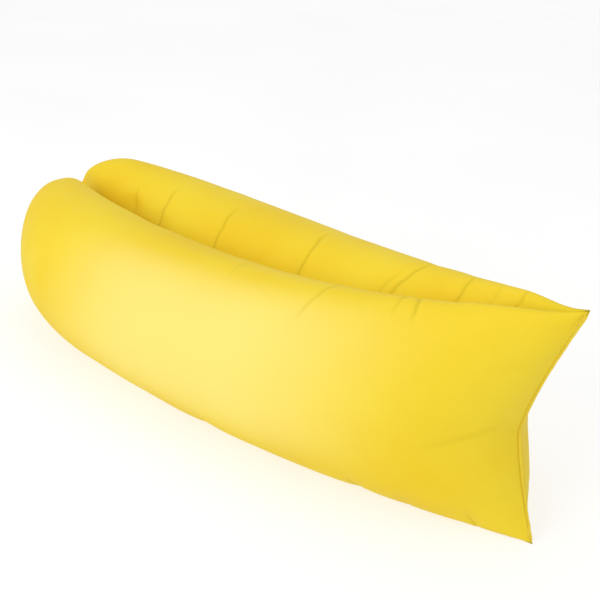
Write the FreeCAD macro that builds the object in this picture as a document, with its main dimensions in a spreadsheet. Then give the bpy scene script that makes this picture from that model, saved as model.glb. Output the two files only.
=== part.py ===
import FreeCAD, Part
import math
import os

import Sketcher
from FreeCAD import Placement, Rotation, Vector

# Inflatable air lounger, inflated and lying ready to be used.
# +X points to the sewn closed end, -X to the rolled mouth, and the two chambers
# lie side by side along X, the near one at -Y.  Z = 0 is the ground.

os.makedirs("parts", exist_ok=True)
doc = FreeCAD.newDocument("air_lounger")

SIZES = {
    # chambers
    "chamber_length": 1978.0,       # lobe tips at the mouth to the ears of the closed seam
    "chamber_reach": 428.0,         # centre plane to the outside of one chamber
    "tube_height": 460.0,
    "floor_flat": 4.0,              # depth by which a chamber is pressed flat on the ground
    "lobe_tip_height": 215.0,
    "lobe_tip_reach": 85.0,         # centre plane to the foremost point of a lobe
    "lobe_tip_rise": 20.0,          # how far the lobe tip lies above the middle of the tube
    "seam_height": 665.0,
    "seam_hollow": 96.0,            # how far the middle of the closed seam is drawn in
    "cleft_half": 24.0,             # half the gap between the lobes, where the roll lies
    "tape_thickness": 1.2,
    "tape_height": 24.0,
    "binding_width": 14.0,
    "binding_thickness": 4.0,
    "clearance": 0.3,
    # rolled mouth
    "roll_radius": 125.0,           # radius of the ring that the roll is bent to
    "roll_width": 38.0,
    "roll_thickness": 14.0,
    "roll_gap": 130.0,              # straight distance between the ends of the roll
    "strip_width": 30.0,
    "strip_thickness": 0.8,
    "strip_pitch": 4.4,             # distance between the two rolled-in strips
    "throat_thickness": 3.0,
    "throat_height": 220.0,
    "throat_length": 215.0,         # ring centre line to where the chambers close up
    # webbing and buckle
    "webbing_width": 25.0,
    "webbing_thickness": 1.3,
    "webbing_bend": 50.0,           # radius in which the strap leaves the roll
    "bar_radius": 1.6,
    "bar_offset": 29.5,             # buckle centre to either webbing bar
    "buckle_width": 33.0,
    "buckle_thickness": 12.0,
    "base_thickness": 8.0,
    "rail_width": 3.2,
    "mouth_z": -11.0,               # open end of the female half, from the buckle centre
    "roof_z": 22.0,                 # where the body of either half ends and its rails begin
    "cavity_end_z": 18.0,
    "cavity_half_width": 13.7,
    "cavity_height": 6.8,
    "window_low_z": 3.0,
    "window_high_z": 16.0,
    "window_inner": 11.6,           # centre line to the inner edge of a side window
    "prong_pivot_y": 9.5,
    "prong_pivot_z": -13.0,
    "prong_root_radius": 2.6,
    "prong_thickness": 6.0,
    "prong_reach": 16.2,            # centre line to the outside of a finger pad
    "prong_tip_z": 16.0,
    "guide_size": 4.4,
    "guide_tip_z": 14.0,
}

sheet = doc.addObject("Spreadsheet::Sheet", "dims")
for row, (alias, value) in enumerate(SIZES.items(), start=1):
    sheet.set("A%d" % row, alias)
    sheet.set("B%d" % row, "%g" % value)
    sheet.setAlias("B%d" % row, alias)
doc.recompute()


def dim(alias):
    """A driving dimension, read back from the sheet."""
    return float(sheet.get(alias))


# ---------------------------------------------------------------- chamber form

# Shares of the chamber's length over which its form changes.
LOBE_ROUND = 0.33       # the outer side rounds off towards the mouth
LOBE_HEIGHT_ROUND = 0.14
LOBE_NOSE = 0.06        # the inner side rounds off at the lobe tip
CLEFT = (0.12, 0.30)    # the gap between the chambers closes over this stretch
TAPER = 0.60            # the chamber narrows to the closed seam
FLARE_START = 0.30      # the chamber grows taller from here to the closed seam
HOLLOW = 0.23           # the closed seam draws the fabric in over this stretch

# Powers of the curves by which the chamber's outline rises and falls.
SWELL_POWERS = (2.0, 1.85)
TAPER_POWERS = (1.9, 1.15)
HEIGHT_POWERS = (2.3, 2.3)
NOSE_POWERS = (2.0, 2.0)
FLARE_POWER = 1.9
HOLLOW_POWER = 1.5
INNER_SIDE_POWER = 0.8  # under 1, so the side towards the other chamber is flatter

STATIONS = (0.0, 0.004, 0.015, 0.035, 0.065, 0.10, 0.15, 0.21, 0.28, 0.36, 0.45, 0.54,
            0.63, 0.72, 0.80, 0.87, 0.925, 0.965, 0.988, 1.0)
RING_STEPS = 12         # spans from the top ridge to the bottom of one sheet

total_length = dim("chamber_length") + dim("clearance") + dim("binding_width")
mouth_x = -total_length / 2.0
seam_x = mouth_x + dim("chamber_length")
sheet_y = dim("tape_thickness") / 2.0 + 2.0 * dim("clearance")


def clip(value):
    return min(max(value, 0.0), 1.0)


def dome(share, power, root):
    """Rises from 0 to 1 like the end of a superellipse."""
    return (1.0 - (1.0 - clip(share)) ** power) ** (1.0 / root)


def ease(share):
    """Rises smoothly from 0 to 1."""
    share = clip(share)
    return share * share * (3.0 - 2.0 * share)


def section(u):
    """Inner side, outer side, middle height and half height of a chamber at share u."""
    cleft = dim("cleft_half") * (1.0 - ease((u - CLEFT[0]) / (CLEFT[1] - CLEFT[0])))
    nose = (dim("lobe_tip_reach") - dim("cleft_half")) * (1.0 - dome(u / LOBE_NOSE, *NOSE_POWERS))
    inner = sheet_y + cleft + nose
    swell = dome(u / LOBE_ROUND, *SWELL_POWERS)
    outer = dim("lobe_tip_reach") + (dim("chamber_reach") - dim("lobe_tip_reach")) * swell
    outer = sheet_y + outer * dome((1.0 - u) / TAPER, *TAPER_POWERS)
    tip = dim("lobe_tip_height")
    height = tip + (dim("tube_height") - tip) * dome(u / LOBE_HEIGHT_ROUND, *HEIGHT_POWERS)
    flare = clip((u - FLARE_START) / (1.0 - FLARE_START)) ** FLARE_POWER
    height += (dim("seam_height") - dim("tube_height")) * flare
    middle = max(height, dim("tube_height")) / 2.0
    middle += dim("lobe_tip_rise") * (1.0 - clip(u / LOBE_HEIGHT_ROUND)) - dim("floor_flat")
    return inner, outer, middle, height / 2.0


def sheet_point(u, turn, outward):
    """A point of one fabric sheet: turn runs from 0 at the top ridge to 1 at the bottom."""
    inner, outer, middle, half_height = section(u)
    angle = math.pi * (0.5 - turn)
    half_width = (outer - inner) / 2.0
    if u in (0.0, 1.0):
        half_width = 0.0
    bulge = max(math.cos(angle), 0.0)
    across = bulge if outward else -bulge ** INNER_SIDE_POWER
    level = math.sin(angle)
    drawn_in = clip((u - 1.0 + HOLLOW) / HOLLOW) ** HOLLOW_POWER
    x = mouth_x + u * dim("chamber_length") - dim("seam_hollow") * drawn_in * (1.0 - level ** 2)
    y = inner + half_width + half_width * across
    if u == 0.0:
        y = inner
    if u == 1.0:
        y = sheet_y
    return Vector(x, y, middle + half_height * level)


def spline_through(points, shares):
    curve = Part.BSplineCurve()
    curve.interpolate(Points=points, Parameters=shares)
    return curve


def skin(outward):
    """A smooth face through one sheet's points. Its edges depend on its edge points only,
    so the inner and the outer sheet of a chamber share theirs exactly."""
    shares = [step / RING_STEPS for step in range(RING_STEPS + 1)]
    ribs = [spline_through([sheet_point(u, turn, outward) for turn in shares], shares)
            for u in STATIONS]
    columns = list(zip(*[rib.getPoles() for rib in ribs]))
    lines = [spline_through(list(column), list(STATIONS)) for column in columns]
    surface = Part.BSplineSurface()
    surface.buildFromPolesMultsKnots([line.getPoles() for line in lines],
                                     ribs[0].getMultiplicities(), lines[0].getMultiplicities(),
                                     ribs[0].getKnots(), lines[0].getKnots(),
                                     False, False, ribs[0].Degree, lines[0].Degree)
    return surface.toShape()


def pillow():
    """The closed form of the far chamber: two sheets joined round their edges."""
    shell = Part.makeShell([skin(True), skin(False)])
    shell.sewShape()
    solid = Part.makeSolid(Part.makeShell(shell.Faces))
    if solid.Volume < 0.0:
        solid.reverse()
    return solid


MIDDLE_X = (mouth_x + seam_x) / 2.0 - 60.0      # the fullest part lies a little towards the mouth
GROUND_DEPTH = 100.0


def shrunk(shape, share):
    """The shape drawn together towards the middle of the chamber."""
    middle = Vector(MIDDLE_X, sheet_y + dim("chamber_reach") / 2.0, dim("tube_height") / 2.0)
    matrix = FreeCAD.Matrix()
    matrix.move(middle.negative())
    matrix.scale(share, share, share)
    matrix.move(middle)
    return shape.transformGeometry(matrix)


def form(name, shape):
    feature = doc.addObject("Part::Feature", name)
    feature.Shape = shape
    return feature


def boolean(kind, name, base, tool):
    feature = doc.addObject(kind, name)
    feature.Base = base
    feature.Tool = tool
    feature.Refine = False
    return feature


def ground(name, top):
    """A block whose top is the level on which a skin is pressed flat."""
    block = doc.addObject("Part::Box", name)
    block.Length = 2.0 * dim("chamber_length")
    block.Width = 4.0 * dim("chamber_reach")
    block.Height = GROUND_DEPTH
    block.Placement.Base = Vector(-block.Length.Value / 2.0, -block.Width.Value / 2.0,
                                  top - GROUND_DEPTH)
    return block


# The sleeve and the liner are hollow: the outside of each wall and the space inside it are
# the same form at different sizes, all pressed flat on the ground.
WALLS = {"sleeve": (1.0, 0.993, 0.0, 1.6), "liner": (0.989, 0.985, 2.4, 3.2)}
pillow_shape = pillow()


def hollow(layer):
    outside, inside, outside_level, inside_level = WALLS[layer]
    skins = []
    for place, share, level in (("outside", outside, outside_level),
                                ("inside", inside, inside_level)):
        raw = form("%s_%s_form" % (layer, place), shrunk(pillow_shape, share))
        block = ground("%s_%s_ground" % (layer, place), level)
        skins.append(boolean("Part::Cut", "%s_%s" % (layer, place), raw, block))
    return boolean("Part::Cut", "far_" + layer, skins[0], skins[1])


def mirrored(source, name):
    feature = doc.addObject("Part::Mirroring", name)
    feature.Source = source
    feature.Normal = Vector(0, 1, 0)
    return feature


nodes = {}
for layer, far_name, near_name in (("sleeve", "far_chamber", "near_chamber"),
                                   ("liner", "far_liner", "near_liner")):
    nodes[far_name] = hollow(layer)
    nodes[near_name] = mirrored(nodes[far_name], near_name)
doc.recompute()


# ------------------------------------------------------------- sketched bodies

def plane(body, role):
    return next(item for item in body.Origin.OriginFeatures if item.Role == role)


def new_body(name, place=Placement()):
    body = doc.addObject("PartDesign::Body", name)
    body.Placement = place
    nodes[name] = body
    return body


def new_sketch(body, name, role):
    sketch = body.newObject("Sketcher::SketchObject", name)
    sketch.AttachmentSupport = [(plane(body, role), "")]
    sketch.MapMode = "FlatFace"
    return sketch


def bind(sketch, constraint, expression):
    """Adds a dimension to the sketch and ties it to the sheet."""
    index = sketch.addConstraint(constraint)
    sketch.setExpression("Constraints[%d]" % index, expression)


def box_outline(sketch, left, right, low, high):
    """A rectangle whose four sides are expressions of the sheet, as signed distances."""
    corners = [Vector(0, 0, 0), Vector(10, 0, 0), Vector(10, 10, 0), Vector(0, 10, 0)]
    sides = [Part.LineSegment(corners[k], corners[(k + 1) % 4]) for k in range(4)]
    first = sketch.addGeometry(sides, False)[0]
    for k in range(4):
        sketch.addConstraint(Sketcher.Constraint("Coincident", first + k, 2, first + (k + 1) % 4, 1))
    for k in (0, 2):
        sketch.addConstraint(Sketcher.Constraint("Horizontal", first + k))
    for k in (1, 3):
        sketch.addConstraint(Sketcher.Constraint("Vertical", first + k))
    for kind, vertex, expression in (("DistanceX", 1, left), ("DistanceY", 1, low)):
        bind(sketch, Sketcher.Constraint(kind, -1, 1, first, vertex, 1.0), expression)
    for kind, vertex, expression in (("DistanceX", 2, right), ("DistanceY", 2, high)):
        bind(sketch, Sketcher.Constraint(kind, -1, 1, first + 1, vertex, 1.0), expression)


def circle_outline(sketch, across, up, radius):
    index = sketch.addGeometry(Part.Circle(Vector(5, 5, 0), Vector(0, 0, 1), 2.0), False)
    bind(sketch, Sketcher.Constraint("DistanceX", -1, 1, index, 3, 5.0), across)
    bind(sketch, Sketcher.Constraint("DistanceY", -1, 1, index, 3, 5.0), up)
    bind(sketch, Sketcher.Constraint("Radius", index, 2.0), radius)


def free_outline(sketch, pieces):
    sketch.addGeometry(pieces, False)


def pad(body, sketch, length):
    """A pad or a further pad of that thickness, half on each side of the sketch."""
    feature = body.newObject("PartDesign::Pad", sketch.Name + "_pad")
    feature.Profile = sketch
    feature.SideType = "Symmetric"
    feature.setExpression("Length", length)
    doc.recompute()


def pocket(body, sketch, length):
    """A cut of that thickness through the body, and a test that it cut something."""
    before = body.Shape.Volume
    feature = body.newObject("PartDesign::Pocket", sketch.Name + "_cut")
    feature.Profile = sketch
    feature.SideType = "Symmetric"
    feature.setExpression("Length", length)
    doc.recompute()
    if body.Shape.Volume >= before - 0.001:
        raise RuntimeError(sketch.Name + " cuts nothing")


def soften(body, radius, chosen):
    """Rounds the edges of the body's last feature that the test picks."""
    doc.recompute()
    tip = body.Tip
    names = ["Edge%d" % (k + 1) for k, edge in enumerate(tip.Shape.Edges) if chosen(edge)]
    feature = body.newObject("PartDesign::Fillet", body.Name + "_soft_edges")
    feature.Base = (tip, names)
    feature.Radius = radius
    doc.recompute()


def runs_along(edge, axis):
    """Whether an edge is a straight one along the axis."""
    if edge.Curve.TypeId != "Part::GeomLine":
        return False
    start, end = edge.Vertexes[0].Point, edge.Vertexes[-1].Point
    return abs((end - start).normalize().dot(axis)) > 0.999


# Seam tape between the chambers, along the middle of the touching sheets.
TAPE_ENDS = (0.36, 0.94)
TAPE_SPANS = 6
TAPE_BEND_START = 0.8   # from here on the tape's end follows the hollow of the closed seam
TAPE_HOLLOW = 0.3
tape = new_body("centre_seam_tape")
tape_sketch = new_sketch(tape, "centre_seam_tape_outline", "XZ_Plane")
tape_shares = [TAPE_ENDS[0] + (TAPE_ENDS[1] - TAPE_ENDS[0]) * k / TAPE_SPANS
               for k in range(TAPE_SPANS + 1)]
half_tape = dim("tape_height") / 2.0


def tape_edge(offset):
    points = []
    for u in tape_shares:
        drawn_in = clip((u - TAPE_BEND_START) / (1.0 - TAPE_BEND_START))
        x = mouth_x + u * dim("chamber_length") - TAPE_HOLLOW * dim("seam_hollow") * drawn_in
        points.append(Vector(x, section(u)[2] + offset, 0.0))
    return points


low_edge, high_edge = tape_edge(-half_tape), tape_edge(half_tape)
free_outline(tape_sketch, [
    spline_through(low_edge, tape_shares),
    Part.LineSegment(low_edge[-1], high_edge[-1]),
    spline_through(high_edge, tape_shares),
    Part.LineSegment(high_edge[0], low_edge[0]),
])
pad(tape, tape_sketch, "dims.tape_thickness")

# Binding sewn along the closed seam, which is drawn in at the middle as a parabola.
binding = new_body("end_seam_binding")
binding_sketch = new_sketch(binding, "end_seam_binding_outline", "XZ_Plane")
seam_middle, seam_half = section(1.0)[2], section(1.0)[3]


def seam_line(offset):
    """Three poles of the parabola of the seam, from the ground to the top ear."""
    top = seam_middle + seam_half

    def at(z):
        level = (z - seam_middle) / seam_half
        return seam_x + offset - dim("seam_hollow") * (1.0 - level ** 2)

    slope = -2.0 * dim("seam_hollow") * seam_middle / seam_half ** 2
    return [Vector(at(0.0), 0.0, 0.0), Vector(at(0.0) + slope * top / 2.0, top / 2.0, 0.0),
            Vector(at(top), top, 0.0)]


def parabola(poles):
    curve = Part.BSplineCurve()
    curve.buildFromPoles(poles, False, 2)
    return curve


seam_side = seam_line(dim("clearance"))
free_side = seam_line(dim("clearance") + dim("binding_width"))
free_outline(binding_sketch, [
    parabola(seam_side),
    Part.LineSegment(seam_side[2], free_side[2]),
    parabola(free_side),
    Part.LineSegment(free_side[0], seam_side[0]),
])
pad(binding, binding_sketch, "dims.binding_thickness")
BINDING_ROUND = 1.2
LONG_EDGE = 0.9         # of the seam's height
soften(binding, BINDING_ROUND, lambda edge: edge.Length > dim("seam_height") * LONG_EDGE)


# ------------------------------------------------------------ the rolled mouth

half_gap_angle = math.degrees(math.asin(dim("roll_gap") / 2.0 / dim("roll_radius")))
roll_turn = 360.0 - 2.0 * half_gap_angle
exit_turn = math.radians(half_gap_angle)
strap_shift = dim("webbing_bend") * (1.0 - math.cos(exit_turn))
strap_rise = dim("webbing_bend") * math.sin(exit_turn)
buckle_back = dim("roll_radius") * math.cos(exit_turn) + strap_shift
BEHIND_TIPS = 4.0       # the buckle stays this far behind the lobe tips
ring_x = mouth_x + BEHIND_TIPS + dim("buckle_thickness") / 2.0 + buckle_back
ring_z = section(0.0)[2] - dim("lobe_tip_rise") / 2.0
ring_place = Placement(Vector(ring_x, 0, ring_z), Rotation())
buckle_place = Placement(Vector(ring_x - buckle_back, 0, ring_z), Rotation())


SLOT_ROOM = 1.0         # beside either edge of a rolled-in strip
STRIP_ENDS = 6.0        # degrees by which a strip is shorter than the roll


def turned(body, sketch, angle):
    """A revolution about the ring's axis, open towards the mouth end."""
    feature = body.newObject("PartDesign::Revolution", sketch.Name + "_turn")
    feature.Profile = sketch
    feature.ReferenceAxis = (sketch, ["V_Axis"])
    feature.Midplane = True
    feature.Angle = angle
    doc.recompute()


roll = new_body("mouth_roll", ring_place)
roll_sketch = new_sketch(roll, "mouth_roll_section", "XY_Plane")
box_outline(roll_sketch, "dims.roll_radius - dims.roll_thickness / 2",
            "dims.roll_radius + dims.roll_thickness / 2",
            "-dims.roll_width / 2", "dims.roll_width / 2")
for side in ("-", "+"):
    middle = "dims.roll_radius %s dims.strip_pitch / 2" % side
    box_outline(roll_sketch, middle + " - dims.strip_thickness / 2 - dims.clearance",
                middle + " + dims.strip_thickness / 2 + dims.clearance",
                "-dims.strip_width / 2 - %g" % SLOT_ROOM, "dims.strip_width / 2 + %g" % SLOT_ROOM)
turned(roll, roll_sketch, roll_turn)

for name, side in (("inner_lip_strip", "-"), ("outer_lip_strip", "+")):
    strip = new_body(name, ring_place)
    strip_sketch = new_sketch(strip, name + "_section", "XY_Plane")
    middle = "dims.roll_radius %s dims.strip_pitch / 2" % side
    box_outline(strip_sketch, middle + " - dims.strip_thickness / 2",
                middle + " + dims.strip_thickness / 2",
                "-dims.strip_width / 2", "dims.strip_width / 2")
    turned(strip, strip_sketch, roll_turn - STRIP_ENDS)

# The flat throat of each sleeve, between the roll and the inflated chamber.
throat_arc = dim("roll_radius") + dim("roll_thickness") / 2.0 + dim("clearance")
throat_half = dim("throat_height") / 2.0
throat_turn = math.asin(throat_half / throat_arc)
throat_middle = sheet_y + dim("throat_thickness") / 2.0
THROAT_NARROWS = 0.8    # its height at the chamber, as a share of its height at the roll
for name, side in (("near_throat", -1.0), ("far_throat", 1.0)):
    place = Placement(Vector(ring_x, side * throat_middle, ring_z), Rotation())
    throat = new_body(name, place)
    throat_sketch = new_sketch(throat, name + "_outline", "XZ_Plane")
    low = Vector(throat_arc * math.cos(throat_turn), -throat_half, 0.0)
    high = Vector(low.x, throat_half, 0.0)
    far_x = throat_arc + dim("throat_length")
    far_high = Vector(far_x, throat_half * THROAT_NARROWS, 0.0)
    far_low = Vector(far_x, -throat_half * THROAT_NARROWS, 0.0)
    free_outline(throat_sketch, [
        Part.Arc(low, Vector(throat_arc, 0.0, 0.0), high),
        Part.LineSegment(high, far_high),
        Part.LineSegment(far_high, far_low),
        Part.LineSegment(far_low, low),
    ])
    pad(throat, throat_sketch, "dims.throat_thickness")


# ------------------------------------------------------- webbing and the buckle

# Lengths by which sketched pieces run into each other or cuts run past a face.
OVERLAP = 0.5
PAST = 2.0
BAR_COVER = 0.8         # of a rail past the bar that it holds
SHELL_ROUND = 2.2
BASE_ROUND = 1.5
GUIDE_ROOT = 1.0


def strap(name, side):
    """Doubled webbing from an end of the roll round the bar of one buckle half."""
    body = new_body(name, buckle_place)
    outline = new_sketch(body, name + "_outline", "XZ_Plane")
    half = dim("webbing_thickness")
    bar_z = side * dim("bar_offset")
    bend_z = side * (dim("roll_gap") / 2.0 - strap_rise)

    def on_bend(offset, turn):
        radius = dim("webbing_bend") + offset
        return Vector(dim("webbing_bend") - radius * math.cos(turn),
                      bend_z + side * radius * math.sin(turn), 0.0)

    sides = []
    for offset in (-half, half):
        sides.append([Vector(-offset, bar_z + side * 2.0 * half, 0.0), on_bend(offset, 0.0),
                      on_bend(offset, exit_turn / 2.0), on_bend(offset, exit_turn)])
    first, second = sides
    free_outline(outline, [
        Part.LineSegment(first[0], first[1]),
        Part.Arc(first[1], first[2], first[3]),
        Part.LineSegment(first[3], second[3]),
        Part.Arc(second[3], second[2], second[1]),
        Part.LineSegment(second[1], second[0]),
        Part.LineSegment(second[0], first[0]),
    ])
    pad(body, outline, "dims.webbing_width")
    loop = new_sketch(body, name + "_loop", "XZ_Plane")
    bar = "%sdims.bar_offset" % ("-" if side < 0 else "")
    circle_outline(loop, "0", bar, "dims.bar_radius + dims.clearance + dims.webbing_thickness")
    pad(body, loop, "dims.webbing_width")
    eye = new_sketch(body, name + "_eye", "XZ_Plane")
    circle_outline(eye, "0", bar, "dims.bar_radius + dims.clearance")
    pocket(body, eye, "dims.webbing_width + %g" % PAST)


strap("upper_strap", 1.0)
strap("lower_strap", -1.0)


def rails(body, name, side, thickness):
    """Two side rails and the round bar that the webbing goes round."""
    for edge in (-1, 1):
        rail = new_sketch(body, "%s_rail_%s" % (name, "far" if edge > 0 else "near"), "YZ_Plane")
        inner = "%d * (dims.buckle_width / 2 - dims.rail_width)" % edge
        outer = "%d * dims.buckle_width / 2" % edge
        near_end = "%d * (dims.roof_z - %g)" % (side, OVERLAP)
        far_end = "%d * (dims.bar_offset + dims.bar_radius + %g)" % (side, BAR_COVER)
        left, right = (inner, outer) if edge > 0 else (outer, inner)
        low, high = (near_end, far_end) if side > 0 else (far_end, near_end)
        box_outline(rail, left, right, low, high)
        pad(body, rail, thickness)
    bar = new_sketch(body, name + "_bar", "XZ_Plane")
    circle_outline(bar, "0", "%d * dims.bar_offset" % side, "dims.bar_radius")
    pad(body, bar, "dims.buckle_width - dims.rail_width")


female = new_body("buckle_female", buckle_place)
shell_sketch = new_sketch(female, "female_body", "YZ_Plane")
box_outline(shell_sketch, "-dims.buckle_width / 2", "dims.buckle_width / 2",
            "dims.mouth_z", "dims.roof_z")
pad(female, shell_sketch, "dims.buckle_thickness")
soften(female, SHELL_ROUND, lambda edge: runs_along(edge, Vector(0, 0, 1)))
cavity_sketch = new_sketch(female, "female_cavity", "YZ_Plane")
box_outline(cavity_sketch, "-dims.cavity_half_width", "dims.cavity_half_width",
            "dims.mouth_z - %g" % PAST, "dims.cavity_end_z")
pocket(female, cavity_sketch, "dims.cavity_height")
for edge in (-1, 1):
    window = new_sketch(female, "female_window_%s" % ("far" if edge > 0 else "near"), "YZ_Plane")
    inner = "%d * dims.window_inner" % edge
    outer = "%d * (dims.buckle_width / 2 + %g)" % (edge, PAST)
    left, right = (inner, outer) if edge > 0 else (outer, inner)
    box_outline(window, left, right, "dims.window_low_z", "dims.window_high_z")
    pocket(female, window, "dims.buckle_thickness + %g" % PAST)
rails(female, "female", 1, "dims.base_thickness")

male = new_body("buckle_male", buckle_place)
base_sketch = new_sketch(male, "male_base", "YZ_Plane")
box_outline(base_sketch, "-dims.buckle_width / 2", "dims.buckle_width / 2",
            "-dims.roof_z", "dims.mouth_z - dims.clearance")
pad(male, base_sketch, "dims.base_thickness")
soften(male, BASE_ROUND, lambda edge: runs_along(edge, Vector(0, 0, 1)))
guide_sketch = new_sketch(male, "male_guide", "YZ_Plane")
box_outline(guide_sketch, "-dims.guide_size / 2", "dims.guide_size / 2",
            "dims.mouth_z - %g" % GUIDE_ROOT, "dims.guide_tip_z")
pad(male, guide_sketch, "dims.guide_size")
for edge in (-1, 1):
    socket = new_sketch(male, "prong_socket_%s" % ("far" if edge > 0 else "near"), "YZ_Plane")
    circle_outline(socket, "%d * dims.prong_pivot_y" % edge, "dims.prong_pivot_z",
                   "dims.prong_root_radius + dims.clearance")
    pocket(male, socket, "dims.base_thickness + %g" % PAST)
rails(male, "male", -1, "dims.base_thickness")


# The prong's outline.
HALF_SHANK = 1.9
PAD_HEIGHT = 5.0        # of the straight part of the finger pad
TIP_ROOM = 0.4
TIP_HALF = 1.0
PAD_SWELL = (1.2, 0.8)  # by which the pad's upper edge bulges out of its chord, across and up


def prong(name, edge):
    """A springing prong: round root, shank, and the barb that is also the finger pad."""
    place = Placement(buckle_place.Base, Rotation(Vector(0, 0, 1), 0 if edge > 0 else 180))
    body = new_body(name, place)
    outline = new_sketch(body, name + "_outline", "YZ_Plane")
    pivot_y, pivot_z = dim("prong_pivot_y"), dim("prong_pivot_z")
    reach, tip_z = dim("prong_reach"), dim("prong_tip_z") - TIP_ROOM
    shoulder_z = dim("window_low_z") + dim("clearance")
    inner_foot = Vector(pivot_y - HALF_SHANK, pivot_z, 0)
    outer_foot = Vector(pivot_y + HALF_SHANK, pivot_z, 0)
    catch_root = Vector(pivot_y + HALF_SHANK, shoulder_z, 0)
    catch = Vector(reach, shoulder_z, 0)
    pad_top = Vector(reach, shoulder_z + PAD_HEIGHT, 0)
    tip_outer = Vector(pivot_y + TIP_HALF, tip_z, 0)
    tip_inner = Vector(pivot_y - HALF_SHANK, tip_z, 0)
    pad_curve = (pad_top + tip_outer) / 2.0 + Vector(PAD_SWELL[0], PAD_SWELL[1], 0)
    free_outline(outline, [
        Part.LineSegment(inner_foot, outer_foot),
        Part.LineSegment(outer_foot, catch_root),
        Part.LineSegment(catch_root, catch),
        Part.LineSegment(catch, pad_top),
        Part.Arc(pad_top, pad_curve, tip_outer),
        Part.LineSegment(tip_outer, tip_inner),
        Part.LineSegment(tip_inner, inner_foot),
    ])
    pad(body, outline, "dims.prong_thickness")
    root = new_sketch(body, name + "_root", "YZ_Plane")
    circle_outline(root, "dims.prong_pivot_y", "dims.prong_pivot_z", "dims.prong_root_radius")
    pad(body, root, "dims.prong_thickness")


prong("far_prong", 1)
prong("near_prong", -1)


# ----------------------------------------------------------- checks and export

doc.recompute()
for item in doc.Objects:
    if "Invalid" in item.State or "Error" in item.State:
        raise RuntimeError("%s failed: %s" % (item.Name, item.State))
for name, item in nodes.items():
    item.Label = name
    shape = item.Shape
    if shape.isNull() or not shape.isValid() or len(shape.Solids) != 1 or shape.Volume <= 0.0:
        raise RuntimeError("%s isn't one valid solid" % name)
    shape.exportStep("parts/%s.step" % name)
    box = shape.optimalBoundingBox()
    print("%-18s %11.0f mm3  x %7.1f %7.1f  y %7.1f %7.1f  z %6.1f %6.1f" % (
        name, shape.Volume, box.XMin, box.XMax, box.YMin, box.YMax, box.ZMin, box.ZMax))
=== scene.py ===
import math

import bpy
import numpy as np
from mathutils import Matrix, Vector


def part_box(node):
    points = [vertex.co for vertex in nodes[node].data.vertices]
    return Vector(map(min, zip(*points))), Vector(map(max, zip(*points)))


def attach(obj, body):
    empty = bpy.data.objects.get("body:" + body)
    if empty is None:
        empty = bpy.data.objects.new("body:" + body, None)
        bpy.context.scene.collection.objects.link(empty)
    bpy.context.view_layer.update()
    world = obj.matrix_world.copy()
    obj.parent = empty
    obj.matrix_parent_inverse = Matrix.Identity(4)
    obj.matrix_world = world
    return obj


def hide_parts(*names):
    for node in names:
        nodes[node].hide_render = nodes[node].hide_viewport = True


# Looks of an inflated air lounger.  +X points to the sewn closed end, -X to the rolled mouth,
# the near chamber lies at -Y and the floor is Z = 0.  Everything is in metres.

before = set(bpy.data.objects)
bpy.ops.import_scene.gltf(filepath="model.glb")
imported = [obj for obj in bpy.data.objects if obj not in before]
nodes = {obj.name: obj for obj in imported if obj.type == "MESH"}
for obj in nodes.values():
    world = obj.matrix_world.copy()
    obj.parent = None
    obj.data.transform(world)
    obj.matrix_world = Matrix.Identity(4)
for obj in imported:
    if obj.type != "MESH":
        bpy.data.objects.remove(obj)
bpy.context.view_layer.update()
rng = np.random.default_rng(7)
BODY = "bag"
TURN = 2.0 * math.pi
MILLIMETRE = 0.001


# ------------------------------------------------------------------------------ camera

CAMERA_AZIMUTH = 41.56      # degrees from straight ahead of the near chamber towards +X
CAMERA_ELEVATION = 25.54
CAMERA_DISTANCE = 2.656
CAMERA_AIM = Vector((0.134, 0.0, 0.3456))
CAMERA_ROLL = -4.90
FOCAL_PIXELS = 937.5        # focal length in pixels of a 600 pixel wide picture
PICTURE_WIDTH = 600.0
SENSOR_WIDTH = 36.0


def make_camera():
    turn, rise = math.radians(CAMERA_AZIMUTH), math.radians(CAMERA_ELEVATION)
    roll = math.radians(CAMERA_ROLL)
    back = Vector((math.sin(turn) * math.cos(rise), -math.cos(turn) * math.cos(rise), math.sin(rise)))
    right = Vector((math.cos(turn), math.sin(turn), 0.0))
    up = back.cross(right)
    rolled_right = right * math.cos(roll) - up * math.sin(roll)
    rolled_up = right * math.sin(roll) + up * math.cos(roll)
    data = bpy.data.cameras.new("camera")
    data.sensor_width = SENSOR_WIDTH
    data.lens = FOCAL_PIXELS / PICTURE_WIDTH * SENSOR_WIDTH
    camera = bpy.data.objects.new("camera", data)
    bpy.context.scene.collection.objects.link(camera)
    matrix = Matrix((rolled_right, rolled_up, back)).transposed().to_4x4()
    matrix.translation = CAMERA_AIM + back * CAMERA_DISTANCE
    camera.matrix_world = matrix
    bpy.context.scene.camera = camera


make_camera()


# ----------------------------------------------------------------------------- helpers

def clip(value):
    return np.clip(value, 0.0, 1.0)


def ease(share):
    """Rises smoothly from 0 to 1."""
    share = clip(share)
    return share * share * (3.0 - 2.0 * share)


def dome(share, power, root):
    """Rises from 0 to 1 like the end of a superellipse."""
    return (1.0 - (1.0 - clip(share)) ** power) ** (1.0 / root)


def unit(vectors):
    return vectors / np.maximum(np.linalg.norm(vectors, axis=-1, keepdims=True), 1e-12)


def join(*coordinates):
    """One array of points, or of UVs, from its coordinates."""
    return np.stack(np.broadcast_arrays(*coordinates), axis=-1)


def distances(points):
    """How far each point of a line lies along it.  Of a grid, how far each of its rows does."""
    steps = np.linalg.norm(np.diff(points, axis=0), axis=-1)
    return np.concatenate([[0.0], np.cumsum(steps.reshape(len(steps), -1).mean(axis=1))])


def signed_degrees(degrees):
    """The same angle, from -180 to 180 degrees."""
    return (degrees + 180.0) % 360.0 - 180.0


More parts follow.
